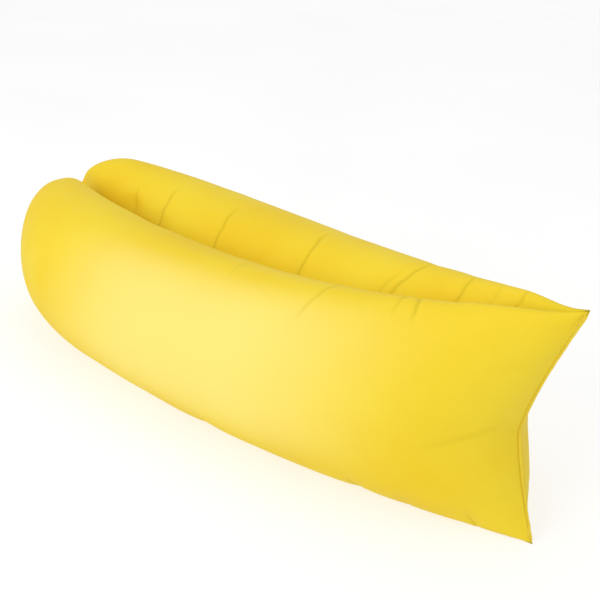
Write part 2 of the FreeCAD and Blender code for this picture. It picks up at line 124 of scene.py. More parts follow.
def window(shares, rise_from, rise, fall_to, fall):
    """A column that eases from 0 to 1 over rise, and back to 0 over fall."""
    return (ease((shares - rise_from) / rise) * ease((fall_to - shares) / fall))[:, None]


def smooth_noise(rows, columns, cells_along, cells_around):
    """Random heights from -1 to 1 on a grid whose columns close round, smooth between its cells."""
    seeds = rng.uniform(-1.0, 1.0, (cells_along + 2, cells_around))
    along = np.linspace(0.0, cells_along, rows)
    around = np.arange(columns) / columns * cells_around
    i = np.minimum(along.astype(int), cells_along)
    j = around.astype(int)
    a = ease(along - i)[:, None]
    b = ease(around - j)[None, :]
    after = (j + 1) % cells_around
    low = seeds[i][:, j] * (1.0 - b) + seeds[i][:, after] * b
    high = seeds[i + 1][:, j] * (1.0 - b) + seeds[i + 1][:, after] * b
    return low * (1.0 - a) + high * a


def add_object(name, mesh):
    piece = bpy.data.objects.new(name, mesh)
    bpy.context.scene.collection.objects.link(piece)
    return piece


def add_mesh(name, points, faces, smooth=True):
    mesh = bpy.data.meshes.new(name)
    mesh.from_pydata(np.asarray(points, float).reshape(-1, 3).tolist(), [], faces)
    mesh.polygons.foreach_set("use_smooth", [smooth] * len(mesh.polygons))
    mesh.update()
    return add_object(name, mesh)


def grid_normals(points):
    """Unit normals of a grid whose columns close round."""
    along = np.empty_like(points)
    along[1:-1] = points[2:] - points[:-2]
    along[0] = points[1] - points[0]
    along[-1] = points[-1] - points[-2]
    around = np.roll(points, -1, axis=1) - np.roll(points, 1, axis=1)
    return unit(np.cross(along, around))


def grid_mesh(name, points, uvs, closed=False, sewn_ends=False, flip=False):
    """A mesh of quads from a grid of points.  closed joins the last column to the first.  sewn_ends
    joins the two halves of the first and of the last row, as a flat seam does.  uvs has one column
    more than points where the grid is closed."""
    rows, columns = points.shape[:2]
    number = np.arange(rows * columns).reshape(rows, columns)
    if sewn_ends:
        partner = np.minimum(np.arange(columns), (columns - np.arange(columns)) % columns)
        number[0] = number[0, partner]
        number[-1] = number[-1, partner]
    wrapped = np.concatenate([number, number[:, :1]], axis=1) if closed else number
    corners = [(0, 0), (0, 1), (1, 1), (1, 0)]
    if flip:
        corners = corners[::-1]

    def at(values, corner):
        i, j = corner
        return values[i:values.shape[0] - 1 + i, j:values.shape[1] - 1 + j]

    faces = np.stack([at(wrapped, c) for c in corners], axis=-1).reshape(-1, 4)
    loop_uvs = np.stack([at(uvs, c) for c in corners], axis=2).reshape(-1, 2)
    kept, compact = np.unique(faces, return_inverse=True)
    faces = compact.reshape(-1, 4)
    piece = add_mesh(name, points.reshape(-1, 3)[kept], faces.tolist())
    layer = piece.data.uv_layers.new(name="cloth")
    layer.data.foreach_set("uv", loop_uvs.astype(np.float32).ravel())
    return piece, kept


def thicken(piece, thickness):
    """Gives a sheet that thickness, half to either side."""
    modifier = piece.modifiers.new("cloth_thickness", "SOLIDIFY")
    modifier.thickness = thickness
    modifier.offset = 0.0
    bpy.context.view_layer.update()
    solid = bpy.data.meshes.new_from_object(piece.evaluated_get(bpy.context.evaluated_depsgraph_get()))
    piece.modifiers.clear()
    piece.data = solid


def settle(piece, material):
    """Gives a finished piece its material and the body it moves with."""
    piece.data.materials.clear()
    piece.data.materials.append(material)
    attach(piece, BODY)
    return piece


# --------------------------------------------------------------------------- materials

SOCKETS = {"base": "Base Color", "roughness": "Roughness", "sheen": "Sheen Weight",
           "sheen_roughness": "Sheen Roughness", "sheen_tint": "Sheen Tint",
           "specular": "Specular IOR Level", "coat": "Coat Weight", "coat_roughness": "Coat Roughness",
           "emission": "Emission Color", "emission_strength": "Emission Strength"}
# The mix node has sockets of the same names for each kind of data: these are the colour ones.
MIX_FACTOR, MIX_FIRST, MIX_SECOND, MIX_RESULT = 0, 6, 7, 2
EVEN = (1.0, 1.0, 1.0)      # not stretched


class Shader:
    """A material with one Principled shader, and short ways to add nodes to it."""

    def __init__(self, name, **values):
        self.material = bpy.data.materials.new(name)
        self.material.use_nodes = True
        self.tree = self.material.node_tree
        self.surface = self.tree.nodes["Principled BSDF"]
        for key, value in values.items():
            self.surface.inputs[SOCKETS[key]].default_value = value

    def node(self, kind, links=None, values=None, **settings):
        made = self.tree.nodes.new(kind)
        for key, value in settings.items():
            setattr(made, key, value)
        for key, value in (values or {}).items():
            made.inputs[key].default_value = value
        for key, source in (links or {}).items():
            self.tree.links.new(source, made.inputs[key])
        return made

    def link(self, source, socket):
        self.tree.links.new(source, self.surface.inputs[socket])

    def feed(self, socket, value):
        """Gives a socket a number, a colour, or the output of another node."""
        if isinstance(value, (int, float)):
            socket.default_value = value
        elif isinstance(value, tuple):
            socket.default_value = (*value, 1.0)
        else:
            self.tree.links.new(value, socket)

    def math(self, operation, first, second=0.0):
        made = self.node("ShaderNodeMath", operation=operation)
        self.feed(made.inputs[0], first)
        self.feed(made.inputs[1], second)
        return made.outputs[0]

    def cloth_place(self, stretch=EVEN):
        """The place on the cloth in metres, stretched by three factors."""
        source = self.node("ShaderNodeUVMap", uv_map="cloth").outputs["UV"]
        return self.node("ShaderNodeMapping", {"Vector": source}, {"Scale": stretch}).outputs[0]

    def solid_place(self):
        """The place in the object, in metres."""
        return self.node("ShaderNodeTexCoord").outputs["Object"]

    def strength(self, attribute):
        """A value that the mesh holds at each of its points."""
        return self.node("ShaderNodeAttribute", attribute_name=attribute).outputs["Fac"]

    def noise(self, vector, scale, detail=2.0, roughness=0.5):
        return self.node("ShaderNodeTexNoise", {"Vector": vector},
                         {"Scale": scale, "Detail": detail, "Roughness": roughness}).outputs["Fac"]

    def ramp(self, source, *stops):
        made = self.node("ShaderNodeValToRGB", {"Fac": source})
        elements = made.color_ramp.elements
        while len(elements) < len(stops):
            elements.new(0.5)
        for element, (place, colour) in zip(elements, stops):
            element.position = place
            element.color = (*colour, 1.0)
        return made.outputs["Color"]

    def mix(self, factor, first, second, blend="MIX"):
        made = self.node("ShaderNodeMix", data_type="RGBA", blend_type=blend)
        for place, value in ((MIX_FACTOR, factor), (MIX_FIRST, first), (MIX_SECOND, second)):
            self.feed(made.inputs[place], value)
        return made.outputs[MIX_RESULT]

    def bump(self, height, distance, strength=1.0, below=None):
        made = self.node("ShaderNodeBump", {"Height": height}, {"Distance": distance, "Strength": strength})
        if below is not None:
            self.tree.links.new(below, made.inputs["Normal"])
        return made.outputs["Normal"]

    def threads(self, vector, pitch):
        """Height of a plain weave of that pitch, in the units of vector: warp over weft in turns."""
        split = self.node("ShaderNodeSeparateXYZ", {"Vector": vector}).outputs
        waves = [self.math("SINE", self.math("MULTIPLY", split[k], math.pi / pitch)) for k in (0, 1)]
        crossing = self.math("MULTIPLY", waves[0], waves[1])
        ribs = self.math("ADD", self.math("ABSOLUTE", waves[0]), self.math("ABSOLUTE", waves[1]))
        return self.math("ADD", self.math("MULTIPLY", crossing, 0.5), self.math("MULTIPLY", ribs, 0.25))


def grey(level):
    return level, level, level


BRIGHT_YELLOW = (0.90, 0.685, 0.034)
DEEP_YELLOW = (0.88, 0.62, 0.020)
VALLEY_SHADE_OLIVE = (0.72, 0.60, 0.012)   # painted shade where it lies against the other chamber
PAINTED_CREASE_SHADE = (0.50, 0.42, 0.010)   # painted shade where it is folded
PAINTED_HIGHLIGHT_YELLOW = (0.95, 0.81, 0.270)    # painted highlight on the middle of each chamber's outer face
THREAD_PITCH = 0.0012
RIB_PITCH = 0.0009
WEBBING_RIB, WEBBING_THREAD = 0.0016, 0.0022
PLASTIC_GRAIN = 0.00008
# Painted highlight and painted shade: what the mesh holds at its points, how much of the dye it covers where
# it is 1, and its colour.
PAINTED_LIGHT_AND_SHADE = (("painted_highlight", 0.62, PAINTED_HIGHLIGHT_YELLOW), ("valley_shade", 0.50, VALLEY_SHADE_OLIVE), ("fold", 0.42, PAINTED_CREASE_SHADE))


def coated_nylon():
    made = Shader("coated_nylon", sheen=0.02, sheen_roughness=0.45, sheen_tint=(1.0, 0.93, 0.62, 1.0),
                  specular=0.16, emission_strength=0.05)
    dye = made.ramp(made.noise(made.cloth_place(), 2.6, 3.0), (0.32, DEEP_YELLOW), (0.68, BRIGHT_YELLOW))
    fibre = made.noise(made.cloth_place((1.0, 6.0, 1.0)), 160.0)
    dye = made.mix(0.10, dye, made.ramp(fibre, (0.3, grey(0.70)), (0.7, grey(1.0))), "MULTIPLY")
    # lays the painted highlight and painted shade over the dye
    for attribute, share, colour in PAINTED_LIGHT_AND_SHADE:
        dye = made.mix(made.math("MULTIPLY", made.strength(attribute), share), dye, colour)
    made.link(dye, "Base Color")
    made.link(dye, "Emission Color")     # painted glow: the cloth glows faintly in its own colour, which lifts its shade
    rubbed = made.noise(made.cloth_place(), 9.0, 4.0)
    made.link(made.ramp(rubbed, (0.3, grey(0.50)), (0.75, grey(0.64))), "Roughness")
    crinkle = made.noise(made.cloth_place((14.0, 5.0, 1.0)), 1.0, 5.0, 0.6)
    normal = made.bump(crinkle, 0.0035, 0.55)
    weave = made.threads(made.cloth_place(), THREAD_PITCH)
    made.link(made.bump(weave, 0.00012, 0.6, normal), "Normal")
    return made.material


def tape_fabric(name, base, shade):
    """Grosgrain: ribs across a narrow tape."""
    made = Shader(name, sheen=0.2, sheen_roughness=0.4, specular=0.3, roughness=0.62)
    ribs = made.threads(made.cloth_place(), RIB_PITCH)
    dye = made.noise(made.cloth_place(), 35.0, 3.0)
    made.link(made.ramp(dye, (0.3, shade), (0.7, base)), "Base Color")
    made.link(made.bump(ribs, 0.0003, 0.8), "Normal")
    return made.material


def film():
    made = Shader("liner_film", base=(0.86, 0.88, 0.90, 1.0), roughness=0.22, specular=0.5, coat=0.3,
                  coat_roughness=0.15)
    crinkle = made.noise(made.cloth_place((9.0, 9.0, 1.0)), 2.0, 6.0, 0.65)
    haze = made.noise(made.cloth_place(), 5.0, 3.0)
    made.link(made.ramp(haze, (0.3, (0.80, 0.83, 0.86)), (0.7, (0.90, 0.91, 0.92))), "Base Color")
    made.link(made.bump(crinkle, 0.004, 0.8), "Normal")
    return made.material


def webbing():
    """Woven polypropylene webbing, ribs across and fine threads along; object coordinates."""
    made = Shader("webbing", sheen=0.35, sheen_roughness=0.35, specular=0.35, roughness=0.6)
    place = made.solid_place()
    split = made.node("ShaderNodeSeparateXYZ", {"Vector": place}).outputs
    across = made.math("SINE", made.math("MULTIPLY", split[1], TURN / WEBBING_RIB))
    along = made.math("SINE", made.math("MULTIPLY", split[2], TURN / WEBBING_THREAD))
    chevron = made.math("MULTIPLY", across, along)
    height = made.math("ADD", made.math("MULTIPLY", across, 0.4), made.math("MULTIPLY", chevron, 0.6))
    fluff = made.noise(place, 900.0, 3.0)
    made.link(made.ramp(fluff, (0.25, (0.010, 0.010, 0.011)), (0.8, (0.032, 0.032, 0.034))), "Base Color")
    made.link(made.bump(height, 0.0004, 0.8), "Normal")
    return made.material


def moulded_plastic(name, dark, light):
    """Fine spark-eroded grain with faint flow marks and rubbed places."""
    made = Shader(name, specular=0.5, coat=0.05, coat_roughness=0.4)
    place = made.solid_place()
    flow = made.noise(place, 120.0, 4.0)
    rub = made.noise(place, 45.0, 3.0)
    made.link(made.ramp(flow, (0.3, dark), (0.75, light)), "Base Color")
    made.link(made.ramp(rub, (0.3, grey(0.30)), (0.75, grey(0.46))), "Roughness")
    made.link(made.bump(made.noise(place, 3000.0), PLASTIC_GRAIN, 0.7), "Normal")
    return made.material


def thread(name, colour, shade):
    made = Shader(name, sheen=0.3, sheen_roughness=0.4, specular=0.4, roughness=0.5)
    place = made.solid_place()
    twist = made.noise(place, 2500.0)
    made.link(made.ramp(twist, (0.3, shade), (0.7, colour)), "Base Color")
    made.link(made.bump(twist, 0.0001, 0.7), "Normal")
    return made.material


NYLON = coated_nylon()
BINDING_TAPE = tape_fabric("binding_tape", BRIGHT_YELLOW, (0.84, 0.61, 0.025))
SEAM_TAPE = tape_fabric("seam_tape", (0.88, 0.88, 0.86), (0.78, 0.78, 0.76))
FILM = film()
WEBBING = webbing()
BUCKLE = moulded_plastic("buckle_plastic", (0.010, 0.010, 0.011), (0.022, 0.022, 0.024))
STRIP = moulded_plastic("strip_plastic", (0.72, 0.73, 0.74), (0.82, 0.83, 0.84))
YELLOW_THREAD = thread("yellow_thread", (0.93, 0.74, 0.10), (0.80, 0.58, 0.05))
BLACK_THREAD = thread("black_thread", grey(0.05), grey(0.015))


# ---------------------------------------------------------------- form of one chamber

CHAMBER_LOW, CHAMBER_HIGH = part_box("far_chamber")
MOUTH_X = CHAMBER_LOW.x
LENGTH = CHAMBER_HIGH.x - MOUTH_X
REACH = CHAMBER_HIGH.y
GROUND_DEPTH = 0.004        # a chamber is pressed flat on the floor by this much
TUBE_HEIGHT = 0.46
SEAM_TOP = CHAMBER_HIGH.z + GROUND_DEPTH

# Driving values of the form.  A level runs from -1 at the foot of a section to 1 at its top.
# Shares of the length are SWELL, TAPER, NOSE, RISE_FROM, CLEFT_FROM, CLEFT_TO, HEAD_SHARE and each
# _REACH.  Each _POWER, each _POWERS and BLUNT_FALL is a power.  Lengths are in metres.
SWELL, SWELL_POWERS = 0.298, (1.697, 1.993)
TAPER, TAPER_POWERS = 0.719, (2.364, 1.007)
# Added to the taper's root at the level where the chamber stays full up to the closed seam, for
# the near side, -1, and the far side, 1.
BLUNT = {-1: 0.45, 1: 0.70}
BLUNT_LEVEL = {-1: -0.32, 1: -0.552}
BLUNT_FALL = {-1: 1.0, 1: 2.05}
HEAD_TOP, HEAD_TOP_REACH, HEAD_TOP_POWER = 0.345, 0.082, 1.88
HEAD_LOW, HEAD_LOW_REACH, HEAD_LOW_POWER = 0.086, 0.246, 2.97
RISE_FROM, RISE_POWER = 0.227, 2.232
TIP_HALF, NOSE = 0.046, 0.065
CLEFT_HALF, CLEFT_FROM, CLEFT_TO = 0.024, 0.12, 0.326
# The heads stand apart between these heights, to leave room for the rolled mouth.
RING_LOW, RING_LOW_BLEND, RING_TOP, RING_TOP_BLEND = 0.08, 0.03, 0.365, 0.06
TOUCH_GAP = 0.001
LEAST_WIDTH = 0.002         # of a chamber, where it ends
OUTER_LOW_POWER, OUTER_TOP_POWER, INNER_POWER, INNER_HEAD_POWER = 1.124, 1.087, 0.833, 0.31
FAR_TOP_HEAD_POWER, FAR_TOP_FROM, FAR_TOP_BLEND = 0.894, -0.45, 0.75   # inside of the far head, in levels
HEAD_SHARE, HEAD_CROWN = 0.3, 0.017         # the crown is a share of the chamber's width
SEAM_HOLLOW, HOLLOW_REACH, HOLLOW_LEVEL = 0.1131, 0.297, -0.122
HOLLOW_START_POWER, HOLLOW_POWER = 1.72, 1.351
TOP_EAR_BACK, TOP_EAR_DOWN, TOP_EAR_REACH = 0.0105, 0.0155, 0.1
LOW_EAR_BACK, LOW_EAR_UP, LOW_EAR_REACH = 0.0175, -0.003, 0.3
HEAD_UNEVEN_REACH = 0.284
NEAR_HEAD_DOWN, FAR_HEAD_UP, NEAR_HEAD_OUT = 0.0186, 0.0211, 0.0083


def away_from(level, middle):
    """0 where the level is the middle one, 1 at the top and at the bottom."""
    return np.abs(level - middle) / np.where(level > middle, 1.0 - middle, 1.0 + middle)


def cleft(u):
    """Half the width of the groove between the two heads, which closes along the chambers."""
    return CLEFT_HALF * (1.0 - ease((u - CLEFT_FROM) / (CLEFT_TO - CLEFT_FROM)))


def form(u, turn, side):
    """Points of a chamber's skin.  u runs from the mouth to the closed seam; turn goes round the
    section from the outer middle over the top; side is -1 for the near chamber and 1 for the far."""
    across, level = np.cos(turn), np.sin(turn)
    up, down = clip(level), clip(-level)
    top = HEAD_TOP + (TUBE_HEIGHT - HEAD_TOP) * dome(u / HEAD_TOP_REACH, HEAD_TOP_POWER, HEAD_TOP_POWER)
    top = top + (SEAM_TOP - TUBE_HEIGHT) * clip((u - RISE_FROM) / (1.0 - RISE_FROM)) ** RISE_POWER
    low = HEAD_LOW * (1.0 - dome(u / HEAD_LOW_REACH, HEAD_LOW_POWER, HEAD_LOW_POWER))
    z = 0.5 * (top + low) + 0.5 * (top - low) * level
    head = 1.0 - ease(u / HEAD_UNEVEN_REACH)
    z = z + (FAR_HEAD_UP if side > 0 else -NEAR_HEAD_DOWN) * head * up ** 2
    z = z + LOW_EAR_UP * ease(1.0 - (1.0 - u) / LOW_EAR_REACH) * down ** 2
    z = z - TOP_EAR_DOWN * ease(1.0 - (1.0 - u) / TOP_EAR_REACH) * up ** 2

    beside_ring = ease((z - RING_LOW) / RING_LOW_BLEND) * (1.0 - ease((z - RING_TOP) / RING_TOP_BLEND))
    inner = cleft(u) * beside_ring + TOUCH_GAP
    inner = inner + (TIP_HALF - CLEFT_HALF) * (1.0 - dome(u / NOSE, 2.0, 2.0))
    swell = dome(u / SWELL, *SWELL_POWERS)
    full = (1.0 - away_from(level, BLUNT_LEVEL[side]) ** 2) ** BLUNT_FALL[side]
    root = TAPER_POWERS[1] + BLUNT[side] * full
    outer = (TIP_HALF + (REACH - TIP_HALF) * swell) * dome((1.0 - u) / TAPER, TAPER_POWERS[0], root)
    outer = np.maximum(outer, inner + LEAST_WIDTH)
    near_mouth = 1.0 - ease(u / HEAD_SHARE)
    head_power = INNER_HEAD_POWER
    if side > 0:
        rounder = ease((level - FAR_TOP_FROM) / FAR_TOP_BLEND)
        head_power = head_power + (FAR_TOP_HEAD_POWER - INNER_HEAD_POWER) * rounder
    inner_power = INNER_POWER + (head_power - INNER_POWER) * near_mouth
    outer_power = np.where(level < 0.0, OUTER_LOW_POWER, OUTER_TOP_POWER)
    power = np.where(across < 0.0, inner_power, outer_power)
    width = 0.5 + 0.5 * np.sign(across) * np.abs(across) ** power
    width = width - HEAD_CROWN * near_mouth * level ** 2 * (1.0 - np.abs(across))
    y = inner + (outer - inner) * width
    if side < 0:
        y = y + NEAR_HEAD_OUT * head

    drawn = clip((u - 1.0 + HOLLOW_REACH) / HOLLOW_REACH) ** HOLLOW_START_POWER
    hollow = 1.0 - away_from(level, HOLLOW_LEVEL) ** HOLLOW_POWER
    back = SEAM_HOLLOW * hollow + TOP_EAR_BACK * up ** 2 + LOW_EAR_BACK * down ** 2
    x = MOUTH_X + u * LENGTH - drawn * back
    z = np.maximum(z - GROUND_DEPTH, 0.0)
    return join(x, side * np.maximum(y, TOUCH_GAP), z)


TRIAL_SHARES, TRIAL_TURNS, TRIAL_QUARTER = 1500, 40, 500
MOUTH_BUNCHING = 1.7        # the trial shares lie closer together at the mouth


def even_shares(points, shares, count):
    """Shares at which count + 1 points lie evenly along a line of points."""
    run = distances(points)
    return np.interp(np.linspace(0.0, run[-1], count + 1), run, shares)


def chamber_grid(side, rows, columns):
    """Rows and columns laid evenly on the skin.  Column 0 is the top fold, half way round is the
    bottom one, and the outer side lies between them."""
    trial = np.linspace(0.0, 1.0, TRIAL_SHARES) ** MOUTH_BUNCHING
    turns = np.linspace(0.0, TURN, TRIAL_TURNS, endpoint=False)
    run = distances(form(trial[:, None], turns[None], side))
    along = np.linspace(0.0, run[-1], rows)
    shares = np.interp(along, run, trial)
    half = columns // 2
    bunched = 0.5 - 0.5 * np.cos(np.pi * np.linspace(0.0, 1.0, TRIAL_QUARTER))
    turn = np.empty((rows, columns))
    for i, u in enumerate(shares):
        for top, start in ((0.5 * np.pi, 0), (-0.5 * np.pi, half)):
            line = top - np.pi * bunched
            section = form(np.full_like(line, u), line, side)
            turn[i, start:start + half] = even_shares(section, line, half)[:-1]
    return form(shares[:, None], turn, side), shares, turn, along


# ------------------------------------------------------------------ creases and puckers

# Creases across a chamber, where the bent tube's fabric is too long: share of the length, how far
# the share moves per right angle of turn, first and last turn in degrees, depth in millimetres.
FAR_CREASES = [
    (0.155, 0.010, 116, 200, 3.5), (0.228, 0.016, 101, 210, 5.0), (0.368, 0.030, 96, 215, 6.0),
    (0.548, 0.020, 86, 215, 6.5), (0.706, -0.050, 80, 205, 6.0), (0.690, -0.056, 106, 170, 3.0),
    (0.813, -0.012, 84, 190, 5.0), (0.868, -0.010, 86, 130, 2.5), (0.905, -0.004, 82, 150, 4.0),
    (0.300, 0.012, 246, 290, 4.0), (0.520, 0.012, 250, 300, 5.0), (0.745, 0.010, 250, 306, 5.0),
]
NEAR_CREASES = [
    (0.693, 0.016, 46, 150, 3.5), (0.545, -0.030, 60, 130, 1.5), (0.785, -0.026, 58, 150, 3.0),
    (0.803, -0.046, 54, 150, 5.0), (0.872, -0.030, 84, 150, 2.5), (0.255, 0.010, 104, 205, 4.0),
    (0.400, 0.012, 102, 210, 4.0), (0.620, 0.012, 110, 205, 4.0), (0.553, 0.010, 262, 322, 7.5),
    (0.782, 0.010, 262, 318, 7.5), (0.934, 0.006, 262, 312, 4.0), (0.350, 0.010, 258, 296, 4.0),
    (0.847, 0.010, 262, 300, 3.5),
]
PLAIN_DEPTH = 5.0           # from this depth on the painted shade of a crease is at its strongest
SOFT_EDGE = 18.0            # degrees over which a crease fades at its ends
CREASE_SPREAD, CREASE_SHARP, CREASE_HOLD = 0.030, 0.0042, 0.009
SPREAD_SHARE, SHARP_SHARE = 0.50, 0.75     # of the depth
# How the line of a crease wanders: metres to either side, degrees per radian, radians per share.
WANDERS = ((0.0022, 7.0, 40.0), (0.0015, 3.1, 90.0))

# Creases along a chamber that run into the closed seam: turn at the seam and how far the turn has
# moved at the crease's start, in degrees, share of the length at its start, depth in millimetres.
SEAM_CREASES = [
    (0.0, -13.0, 0.865, 3.0), (28.0, 4.0, 0.930, 1.6), (-38.0, -5.0, 0.925, 1.8),
    (56.0, 6.0, 0.940, 1.4), (-62.0, -5.0, 0.945, 1.4),
]
SEAM_CREASE_WIDTH = 1.7     # degrees
SEAM_CREASE_GROWTH = 0.6    # share of its length over which it grows to its depth
SEAM_CREASE_FADE = 0.015    # share of the chamber over which it fades at the seam


def crease_depths(creases, shares, turn):
    """Depth in metres at each point of the grid, how sharply it is folded, from 0 to 1, which sets the
    painted crease shade, and how firmly a crease holds the skin there."""
    degrees = np.degrees(turn)
    depth = np.zeros_like(turn)
    sharp = np.zeros_like(turn)
    held = np.zeros_like(turn)
    for share, lean, first, last, deep in creases:
        middle = 0.5 * (first + last)
        around = signed_degrees(degrees - middle)
        half = 0.5 * (last - first)
        strength = ease((half - np.abs(around)) / SOFT_EDGE)
        wander = sum(size * np.sin(around / pitch + phase * share) for size, pitch, phase in WANDERS)
        away = (shares[:, None] - share - lean * around / 90.0) * LENGTH + wander
        soft = np.exp(-np.abs(away) / CREASE_SPREAD)
        tight = np.exp(-(away / CREASE_SHARP) ** 2)
        depth = depth + MILLIMETRE * deep * strength * (SPREAD_SHARE * soft + SHARP_SHARE * tight)
        sharp = np.maximum(sharp, strength * tight * min(1.0, deep / PLAIN_DEPTH))
        held = np.maximum(held, strength * np.exp(-(away / CREASE_HOLD) ** 2))
    return depth, sharp, held


def seam_depths(shares, turn):
    """Depth in metres at each point of the grid, and how sharply it is folded, from 0 to 1, which sets the
    painted crease shade.
    """
    degrees = np.degrees(turn)
    depth = np.zeros_like(turn)
    sharp = np.zeros_like(turn)
    fade = ease((1.0 - shares) / SEAM_CREASE_FADE)[:, None]
    for place, drift, first, deep in SEAM_CREASES:
        grown = ease((shares - first) / (SEAM_CREASE_GROWTH * (1.0 - first)))[:, None]
        line = place + drift * ((1.0 - shares) / (1.0 - first))[:, None]
        for centre in (line, 180.0 - line):
            away = signed_degrees(degrees - centre)
            fold = grown * fade * np.exp(-(away / SEAM_CREASE_WIDTH) ** 2)
            depth = depth + MILLIMETRE * deep * fold
            sharp = np.maximum(sharp, fold * min(1.0, deep / PLAIN_DEPTH) ** 2)
    return depth, sharp


# ------------------------------------------------------------ cloth under air pressure

AIR_PUSH = 6e-7             # metres per step and step
DAMPING = 0.985
LEAST_GIVE = 0.06           # how little cloth resists being pushed together
SHEAR_SHARE = 0.25          # how stiff the weave is across its threads
CORRECTION = 0.42           # share of a thread's error that one step mends
FARTHEST = 0.014            # no point moves further than this from where it starts
TINY = 1e-9


def pull(first, second, rest, stiffness=1.0):
    """How far the first points move, and the second ones back, to come nearer to their rest distance."""
    gap = second - first
    length = np.linalg.norm(gap, axis=-1, keepdims=True)
    excess = length - rest
    give = 0.5 * stiffness * np.where(excess > 0.0, 1.0, LEAST_GIVE)
    return gap * (give * excess / np.maximum(length, TINY)) * CORRECTION


def keep_clear(points, side, gap):
    """Keeps a chamber's skin off the other chamber and above the floor."""
    points[..., 1] = side * np.maximum(side * points[..., 1], gap)
    points[..., 2] = np.maximum(points[..., 2], 0.0)


def inflate(points, side, hold, slack, steps):
    """Sets the skin free under air pressure.  Its threads keep their length, apart from slack along
    the chamber, hold pins points where they start, and the floor and the other chamber stop it."""
    start = points.copy()
    rest_along = np.linalg.norm(points[1:] - points[:-1], axis=-1, keepdims=True)
    rest_along = rest_along * (1.0 + 0.5 * (slack[1:] + slack[:-1])[..., None])
    around = np.roll(points, -1, axis=1)
    rest_around = np.linalg.norm(around - points, axis=-1, keepdims=True)
    rest_falling = np.linalg.norm(around[1:] - points[:-1], axis=-1, keepdims=True)
    rest_rising = np.linalg.norm(points[1:] - around[:-1], axis=-1, keepdims=True)
    free = (1.0 - hold)[..., None]
    speed = np.zeros_like(points)
    for _ in range(steps):
        speed = DAMPING * (speed + AIR_PUSH * side * grid_normals(points))
        moved = points + speed * free
        after = np.roll(moved, -1, axis=1)
        shift = np.zeros_like(moved)
        move = pull(moved[:-1], moved[1:], rest_along)
        shift[:-1] += move
        shift[1:] -= move
        move = pull(moved, after, rest_around)
        shift += move - np.roll(move, 1, axis=1)
        move = pull(moved[:-1], after[1:], rest_falling, SHEAR_SHARE)
        shift[:-1] += move
        shift[1:] -= np.roll(move, 1, axis=1)
        move = pull(after[:-1], moved[1:], rest_rising, SHEAR_SHARE)
        shift[:-1] += np.roll(move, 1, axis=1)
        shift[1:] -= move
        moved = moved + shift * free
        away = moved - start
        far = np.linalg.norm(away, axis=-1, keepdims=True)
        moved = start + away * np.minimum(1.0, FARTHEST / np.maximum(far, TINY))
        keep_clear(moved, side, TOUCH_GAP)
        speed = moved - points
        points = moved
    return points


def halve_cells(field):
    """The field on a grid twice as fine, by the four point rule; its columns close round."""
    before, after, next_after = (np.roll(field, k, axis=1) for k in (1, -1, -2))
    between = (9.0 * (field + after) - before - next_after) / 16.0
    wide = np.empty((field.shape[0], 2 * field.shape[1]) + field.shape[2:])
    wide[:, 0::2], wide[:, 1::2] = field, between
    padded = np.concatenate([wide[:1], wide, wide[-1:]])
    tall = np.empty((2 * wide.shape[0] - 1,) + wide.shape[1:])
    tall[0::2] = wide
    tall[1::2] = (9.0 * (wide[:-1] + wide[1:]) - padded[:-3] - padded[3:]) / 16.0
    return tall


# ------------------------------------------------------------------------- the sleeves

SIM_ROWS, SIM_COLUMNS = 265, 92
CUT_WIDTH = 0.70            # flat width of a sleeve
UNDULATIONS = ((0.0012, (15, 10)), (0.00048, (34, 20)))     # height, cells along and around
PUCKER, PUCKER_CELLS, PUCKER_REACH, PUCKER_START = 0.0014, 44, 0.07, 0.01
CREASE_WINDOW = (0.0, 0.08, 1.0, 0.05)      # shares of the length, as window() takes them
SLACK_WINDOW = (0.08, 0.10, 0.97, 0.06)
PAINTED_HIGHLIGHT_WINDOW = (0.20, 0.25, 0.90, 0.30)
PAINTED_HIGHLIGHT_TURN = 0.30            # the painted highlight is strongest this far above the outer middle, in radians
VALLEY_SHADE_REACH = 0.050        # painted shade darkens the dye this near to the other chamber
INNER_SLACK = 0.0026        # share of spare length where the bent tube is pushed together
FOLD_SLACK = 0.4            # share of that at the top and bottom folds
TOP_FOLD, LOW_FOLD = 0.5, 0.6               # levels at which the folds begin
SLACK_CELLS, SLACK_UNEVEN = (18, 12), 0.5
CREASE_GRIP = 1.3
SIM_STEPS = 320
HEAD_HOLD = 0.030           # share of the length over which the gathered mouth holds the skin
CREASES = {"near": NEAR_CREASES, "far": FAR_CREASES}
SIDES = {"near": -1, "far": 1}


def sleeve_points(name, side, rows, columns):
    """The form with its creases, not yet inflated, and what is known at each of its points."""
    points, shares, turn, along = chamber_grid(side, rows, columns)
    outward = grid_normals(points) * side
    depth, sharp, held = crease_depths(CREASES[name], shares, turn)
    seam_depth, seam_sharp = seam_depths(shares, turn)
    points = points - outward * (depth * window(shares, *CREASE_WINDOW) + seam_depth)[..., None]
    return points, shares, turn, along, np.maximum(sharp, seam_sharp), held, outward


def inflated_shift(name, side):
    """How air pressure moves the creased skin, found on a coarser grid."""
    points, shares, turn, _, _, held, _ = sleeve_points(name, side, SIM_ROWS, SIM_COLUMNS)
    level, across = np.sin(turn), np.cos(turn)
    folds = ease((level - TOP_FOLD) / (1.0 - TOP_FOLD)) + ease((-level - LOW_FOLD) / (1.0 - LOW_FOLD))
    slack = INNER_SLACK * clip(ease(0.5 - across) + FOLD_SLACK * folds) * window(shares, *SLACK_WINDOW)
    slack = slack * (1.0 + SLACK_UNEVEN * smooth_noise(SIM_ROWS, SIM_COLUMNS, *SLACK_CELLS))
    hold = np.maximum(clip(CREASE_GRIP * held), 1.0 - ease(shares / HEAD_HOLD)[:, None])
    hold[-2:] = 1.0         # sewn
    return inflate(points, side, hold, slack, SIM_STEPS) - points


